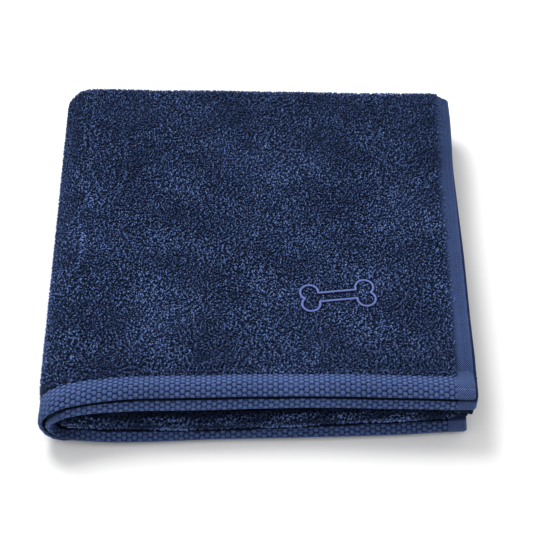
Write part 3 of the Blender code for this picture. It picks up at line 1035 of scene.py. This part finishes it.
def build_top_pile(sizes, colours):
    """Loops of the top, in two pieces. They end unevenly beside the selvedge and the border,
    and leave the motif clear."""
    cloth = FoldedCloth(sizes)
    numbers = np.random.default_rng(sizes.seed)
    side = 10 * MM
    x, y = sow(cloth.top_span - side, cloth.starts[1] - PILE_BEGINS, sizes.loop_pitch, sizes.seed)
    x = x + side
    y = y + PILE_BEGINS + np.where(y < 2 * MM, numbers.uniform(-1.2, 0.8, len(y)) * MM, 0)
    band = (11.5 + 3.5 * (1 - ease(y, 0.0, 0.20)) + 1.2 * wandering(x * 0, y, 5, 0.02)
            - 2.8 * ease(y, 0.24, 0.35)) * MM
    inside = (x < cloth.top_span) & (y < cloth.starts[1])
    inside &= x > band + numbers.uniform(-2.2, 2.2, len(x)) * MM
    inside &= motif_distance(x, y) > MOTIF_CLEAR
    x, y = x[inside], y[inside]
    half = np.median(y)
    for name, part in (("pile_top_front", y < half), ("pile_top_back", y >= half)):
        build_pile(sizes, colours, name, y[part], x[part] / cloth.top_span, sizes.seed + 1,
                   shade=pile_shade(y[part]))


def build_side_pile(sizes, colours):
    """Loops of the side fold, darker toward the back and pressed flat beside the border
    lower down."""
    cloth = FoldedCloth(sizes)
    around = math.pi * cloth.pile_reach
    x, y = sow(around, cloth.starts[1] - PILE_BEGINS, sizes.loop_pitch, sizes.seed + 2)
    r = 1 + x / around
    y = y + PILE_BEGINS + 3 * MM * ease(r, 1.0, 1.3)
    shade = pile_shade(y) - 0.22 * ease(y, 0.08, 0.20) * ease(r, 1.0, 1.35)
    at_border = 1 - ease(y, PILE_BEGINS + 4 * MM, PILE_BEGINS + 9 * MM)
    build_pile(sizes, colours, "pile_side_fold", y, r, sizes.seed + 3,
               height=1 - 0.45 * ease(r, 1.1, 1.4) * at_border, shade=shade)


def front_fold_look(cloth, x, y, r, unrolled):
    """Height and brightness of the loops of the front folds: flattened in creases, with painted
    shade in the creases and deep under the border over them, and painted light toward the
    right-hand end of the lower fold."""
    crease = np.clip(wandering(x * 0.10, y, 61, 3 * MM), -1, 1)
    above = np.where(r > 2, 1 - (r - 2) * cloth.under_span / cloth.top_span, np.minimum(r, 1))
    places = cloth.place(np.interp(y, *unrolled), r, 2 * MM)
    depth = cloth.below(cloth.length - HEM_THICK, above, HEM_THICK, places)
    right = ease(r, 2.5, 2.8)
    # painted shade deep under the border over the fold, with less of it and painted light toward
    # the right-hand end of the lower fold
    shade = 0.20 + 0.82 * ease(depth + 1.5 * MM * right, 3.0 * MM, 8.5 * MM)
    # the creases take painted shade as well as lower loops
    return 1.0 + 0.28 * crease, shade * (1 + 0.42 * crease) * (1 + 0.35 * right)


def build_fold_pile(sizes, colours, name, number, ahead, level, front):
    """Loops on the outside of the folds at the back or at the front. They follow the part of
    this number of the cloth's path, begin this far ahead of it and end this far after it,
    and go round the stack at this level."""
    cloth = FoldedCloth(sizes)
    margin = 11 * MM
    reach = level * cloth.pitch
    begin, end = cloth.starts[number] - ahead, cloth.starts[number + 1] + ahead
    unrolled = cloth.unroll(begin, end, number, 2 * MM)
    whole = cloth.top_span + math.pi * reach + cloth.under_span
    x, y = sow(whole - 2 * margin, unrolled[0][-1], sizes.loop_pitch, sizes.seed + 10 + number)
    x = x + margin
    r = cloth.to_way(x, reach)
    height, shade, fade = 1.0, 0.88, 1.5
    if front:
        height, shade = front_fold_look(cloth, x, y, r, unrolled)
        # deeper painted shade at the roots of the front folds' loops
        fade = 1.9
    build_pile(sizes, colours, name, y, r, sizes.seed + 20 + number, height=height, shade=shade,
               fade=fade, reach=reach, unrolled=unrolled)


def build_under_pile(sizes, colours):
    """Loops of the underside, wider, lower and fewer."""
    cloth = FoldedCloth(sizes)
    x, y = sow(cloth.under_span - 15 * MM, cloth.starts[1] - PILE_BEGINS,
               sizes.loop_pitch * 1.7, sizes.seed + 6)
    build_pile(sizes, colours, "pile_underside", y + PILE_BEGINS, 2 + x / cloth.under_span,
               sizes.seed + 7, height=0.75, spread=1.35)


# Stitching

def motif_path(spacing):
    """The motif's outline as places on the flat cloth and directions, a bone outline made
    of two shaft lines and four lobes."""
    lobe_x, lobe_y, radius = MOTIF_LOBE
    meet = lobe_x - math.sqrt(radius ** 2 - (MOTIF_SHAFT - lobe_y) ** 2)
    begin = math.atan2(MOTIF_SHAFT - lobe_y, meet - lobe_x) % (2 * math.pi)
    finish = math.atan2(-lobe_y, math.sqrt(radius ** 2 - lobe_y ** 2))
    turn = np.linspace(begin, finish, 40)
    lobe = np.column_stack((lobe_x + radius * np.cos(turn), lobe_y + radius * np.sin(turn)))
    quarter = np.vstack(((0.0, MOTIF_SHAFT), lobe))
    half = np.vstack((quarter, quarter[::-1] * (1, -1)))
    whole = np.vstack((half, half[::-1] * (-1, 1)))
    steps = np.hypot(*np.diff(whole, axis=0).T)
    walked = np.concatenate(([0.0], np.cumsum(steps)))
    marks = np.arange(0, walked[-1], spacing)
    x = np.interp(marks, walked, whole[:, 0])
    y = np.interp(marks, walked, whole[:, 1])
    facing = np.arctan2(np.roll(y, -1) - np.roll(y, 1), np.roll(x, -1) - np.roll(x, 1))
    across = MOTIF_ACROSS - x * math.cos(MOTIF_TURN) + y * math.sin(MOTIF_TURN)
    along = MOTIF_ALONG + x * math.sin(MOTIF_TURN) + y * math.cos(MOTIF_TURN)
    return across, along, math.pi - (facing + MOTIF_TURN)


def motif_distance(across, along):
    """Metres from each place on the flat cloth to the motif's outline."""
    distance = np.full(across.shape, 1.0)
    near = np.hypot(across - MOTIF_ACROSS, along - MOTIF_ALONG) < 0.045
    u, v = motif_path(0.6 * MM)[:2]
    gaps = np.hypot(across[near][:, None] - u, along[near][:, None] - v)
    distance[near] = gaps.min(axis=1)
    return distance


def build_stitches(sizes, name, across, along, facing, rise, thread, seed, material):
    """A row of stitches on the flat cloth, carried to its folded place. Each is a small
    length of thread that arches over the cloth, and thread is its length, its width and the
    height of its arch."""
    length, width, arch = thread
    cloth = FoldedCloth(sizes)
    numbers = np.random.default_rng(seed)
    bm = bmesh.new()
    bmesh.ops.create_uvsphere(bm, u_segments=6, v_segments=4, radius=1.0)
    template = mesh_of(bm, "stitch")
    x, y, z = read_points(template).T[:, None]
    count = len(across)
    size = numbers.uniform(0.92, 1.08, (count, 1))
    ahead = z * length / 2 * size
    aside = x * width / 2 * numbers.uniform(0.9, 1.1, (count, 1))
    up = y * width / 2 + arch * (1 - z ** 2)
    turn = np.broadcast_to(facing, count)[:, None] + numbers.uniform(-0.06, 0.06, (count, 1))
    u = across[:, None] + ahead * np.cos(turn) - aside * np.sin(turn)
    v = along[:, None] + ahead * np.sin(turn) + aside * np.cos(turn)
    places = cloth.place(v, cloth.to_way(u, cloth.half_height), rise + up)
    mesh = scatter(name, template, count, places)
    bpy.data.meshes.remove(template)
    # painted light and shade: each stitch is lighter on top and darker underneath
    tone = 0.5 + 0.35 * y + numbers.uniform(-0.12, 0.12, (count, 1))
    point_values(mesh, tone=np.clip(tone, 0, 1).ravel())
    return finish_piece(mesh, material)


# Sizes and colours that a user may change

def size_setting(name, description, value):
    """A length that a user may change."""
    return FloatProperty(name=name, description=description, default=value, precision=5,
                         unit="LENGTH")


def colour_setting(name, description, value):
    """A colour that a user may change."""
    return FloatVectorProperty(name=name, description=description, default=value, size=3,
                               min=0.0, max=1.0, subtype="COLOR")


class TowelSizes(bpy.types.PropertyGroup):
    """Sizes of the towel"""
    layer_pitch: size_setting("Layer pitch", "From one layer to the next", 0.0064)
    ground_rise: size_setting("Ground", "Half thickness of the cloth under the loops", 0.0009)
    cell_width: size_setting("Cell width", "From a honeycomb cell to the next in its row", 0.00835)
    cell_height: size_setting("Cell height", "From a honeycomb cell to the one above it", 0.00435)
    groove_depth: size_setting("Groove depth", "Depth of the grooves between cells", 0.0009)
    groove_width: size_setting("Groove width", "Width of the grooves between cells", 0.0009)
    loop_pitch: size_setting("Loop pitch", "From one loop of the pile to the next", 0.0022)
    loop_span: size_setting("Loop span", "Distance between the feet of a loop", 0.0029)
    loop_height: size_setting("Loop height", "Height of a loop over the ground cloth", 0.0022)
    yarn_radius: size_setting("Yarn radius", "Radius of the pile yarn", 0.00053)
    seed: IntProperty(name="Seed", description="Changes where the loops fall", default=7, min=0)


class TowelColours(bpy.types.PropertyGroup):
    """Colours of the towel"""
    # The pile runs from painted shade at its roots, also on the cloth under the loops, to its lit
    # tips
    pile_root_shade: colour_setting("Pile root", "Colour deep in the pile", (0.0012, 0.0032, 0.0105))
    pile_body: colour_setting("Pile", "Colour of most of the pile", (0.029, 0.052, 0.138))
    pile_tip: colour_setting("Pile tip", "Colour of the ends of the loops", (0.225, 0.355, 0.780))
    # painted shade in the border's grooves, under its hems and under the stitches
    border_deep_shade: colour_setting("Border groove", "Colour between the cells",
                                  (0.0022, 0.0036, 0.0090))
    border_body: colour_setting("Border", "Colour of most of the border", (0.058, 0.097, 0.250))
    border_bright: colour_setting("Border cell", "Colour of the raised cells",
                                  (0.120, 0.190, 0.430))
    # painted shade on the undersides of the motif's stitches, and painted light on their tops
    thread_underside_shade: colour_setting("Motif shade", "Colour of the motif thread in its folds",
                                 (0.055, 0.078, 0.235))
    thread: colour_setting("Motif thread", "Colour of the stitched motif", (0.105, 0.145, 0.392))
    thread_bright: colour_setting("Motif light", "Colour of the raised motif thread",
                                  (0.162, 0.216, 0.505))


class TowelSettings(bpy.types.PropertyGroup):
    """All settings of the towel"""
    sizes: PointerProperty(type=TowelSizes)
    colours: PointerProperty(type=TowelColours)


# Operators

class TOWEL_OT_stage(bpy.types.Operator):
    """Adds the floor, the soft studio light and the camera"""
    bl_idname = "towel.stage"
    bl_label = "Stage"

    def execute(self, context):
        scene = context.scene
        scene.view_settings.view_transform = "Standard"
        bm = bmesh.new()
        bmesh.ops.create_grid(bm, x_segments=1, y_segments=1, size=6.0)
        bmesh.ops.translate(bm, verts=bm.verts[:], vec=(0.0, 0.0, -FLOOR_DROP))
        mesh = mesh_of(bm, "floor")
        material = bpy.data.materials.new("white floor")
        material.use_nodes = True
        shader = material.node_tree.nodes["Principled BSDF"]
        shader.inputs["Base Color"].default_value = (0.88, 0.88, 0.88, 1.0)
        shader.inputs["Roughness"].default_value = 0.9
        mesh.materials.append(material)
        fresh_object("floor", mesh)
        world = bpy.data.worlds.new("studio")
        world.use_nodes = True
        background = world.node_tree.nodes["Background"].inputs
        background["Color"].default_value = (1.0, 1.0, 1.0, 1.0)
        background["Strength"].default_value = WORLD_LIGHT
        scene.world = world
        lamp = bpy.data.lights.new("key", "AREA")
        lamp.shape = "SQUARE"
        lamp.size = KEY_SIZE
        lamp.energy = KEY_POWER
        light = fresh_object("key", lamp)
        light.location = KEY_PLACE
        x, y, z = KEY_PLACE
        light.rotation_euler = (math.atan2(math.hypot(x, y), z), 0.0,
                                math.atan2(-y, -x) - math.pi / 2)
        lens = bpy.data.cameras.new("camera")
        lens.sensor_width = SENSOR
        lens.lens = SENSOR * LENS_PIXELS / PICTURE
        lens.shift_y = SHIFT_PIXELS / PICTURE
        camera = fresh_object("camera", lens)
        camera.location = CAMERA_PLACE
        camera.rotation_euler = (math.pi / 2 - CAMERA_DOWN, 0.0, 0.0)
        scene.camera = camera
        return {"FINISHED"}


class TOWEL_OT_cloth(bpy.types.Operator):
    """Builds the folded cloth"""
    bl_idname = "towel.cloth"
    bl_label = "Cloth"

    def execute(self, context):
        settings = context.scene.towel
        build_cloth(settings.sizes, settings.colours)
        return {"FINISHED"}


class TOWEL_OT_borders(bpy.types.Operator):
    """Builds the two woven borders with their hems"""
    bl_idname = "towel.borders"
    bl_label = "Borders"

    def execute(self, context):
        settings = context.scene.towel
        sizes, colours = settings.sizes, settings.colours
        build_border(sizes, colours, "border_a", inner=False, dense_to=26.5,
                     under_step=2.1 * MM)
        build_border(sizes, colours, "border_b", inner=True, dense_to=11.0,
                     under_step=sizes.cell_width / 12)
        return {"FINISHED"}


class TOWEL_OT_pile(bpy.types.Operator):
    """Covers the cloth with loops"""
    bl_idname = "towel.pile"
    bl_label = "Pile"

    def execute(self, context):
        settings = context.scene.towel
        sizes, colours = settings.sizes, settings.colours
        build_top_pile(sizes, colours)
        build_side_pile(sizes, colours)
        build_fold_pile(sizes, colours, "pile_back_folds", number=1, ahead=0.0, level=3.0,
                        front=False)
        build_fold_pile(sizes, colours, "pile_front_folds", number=3, ahead=6 * MM, level=1.0,
                        front=True)
        build_under_pile(sizes, colours)
        return {"FINISHED"}


class TOWEL_OT_stitching(bpy.types.Operator):
    """Stitches the motif, the hem and the selvedge"""
    bl_idname = "towel.stitching"
    bl_label = "Stitching"

    def execute(self, context):
        settings = context.scene.towel
        sizes, colours = settings.sizes, settings.colours
        cloth = FoldedCloth(sizes)
        tones = colours.thread_underside_shade, colours.thread, colours.thread_bright
        satin = thread_material("motif satin thread", tones, 0.45, 0.25)
        across, along, facing = motif_path(0.42 * MM)
        build_stitches(sizes, "motif", across, along, facing + math.radians(68), 2.3 * MM,
                       (2.5 * MM, 0.62 * MM, 0.7 * MM), sizes.seed + 31, satin)
        tones = colours.border_deep_shade, colours.border_body, colours.border_bright
        plain = thread_material("navy sewing thread", tones, 0.6, 0.2)
        whole = cloth.top_span + math.pi * cloth.half_height + cloth.under_span
        across = np.arange(2.5 * MM, whole - 2 * MM, STITCH_PITCH)
        build_stitches(sizes, "stitches_hem", across, np.full(across.shape, HEM_STITCHES), 0.0,
                       1.25 * MM, (2.7 * MM, 0.5 * MM, 0.25 * MM), sizes.seed + 32, plain)
        run = np.arange(3 * MM, cloth.starts[1] - 4 * MM, STITCH_PITCH)
        across = np.repeat((SELVEDGE_STITCHES, whole - SELVEDGE_STITCHES), len(run))
        build_stitches(sizes, "stitches_selvedge", across, np.tile(run, 2), math.pi / 2,
                       0.85 * MM, (2.6 * MM, 0.5 * MM, 0.2 * MM), sizes.seed + 33, plain)
        return {"FINISHED"}


class TOWEL_PT_panel(bpy.types.Panel):
    """Lists the towel's pieces and settings"""
    bl_idname = "TOWEL_PT_panel"
    bl_label = "Folded Towel"
    bl_space_type = "VIEW_3D"
    bl_region_type = "UI"
    bl_category = "Towel"

    def draw(self, context):
        layout = self.layout
        settings = context.scene.towel
        for operator in PIECES:
            layout.operator(operator.bl_idname)
        for group in (settings.sizes, settings.colours):
            box = layout.box()
            for name in group.bl_rna.properties.keys():
                if name not in ("rna_type", "name"):
                    box.prop(group, name)


PIECES = (TOWEL_OT_stage, TOWEL_OT_cloth, TOWEL_OT_borders, TOWEL_OT_pile, TOWEL_OT_stitching)
CLASSES = (TowelSizes, TowelColours, TowelSettings, *PIECES, TOWEL_PT_panel)


def register():
    for item in CLASSES:
        bpy.utils.register_class(item)
    bpy.types.Scene.towel = PointerProperty(type=TowelSettings)


def unregister():
    del bpy.types.Scene.towel
    for item in reversed(CLASSES):
        bpy.utils.unregister_class(item)


def main():
    register()
    bpy.ops.towel.stage()
    bpy.ops.towel.cloth()
    bpy.ops.towel.borders()
    bpy.ops.towel.pile()
    bpy.ops.towel.stitching()
    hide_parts("towel")


if __name__ == "__main__":
    main()
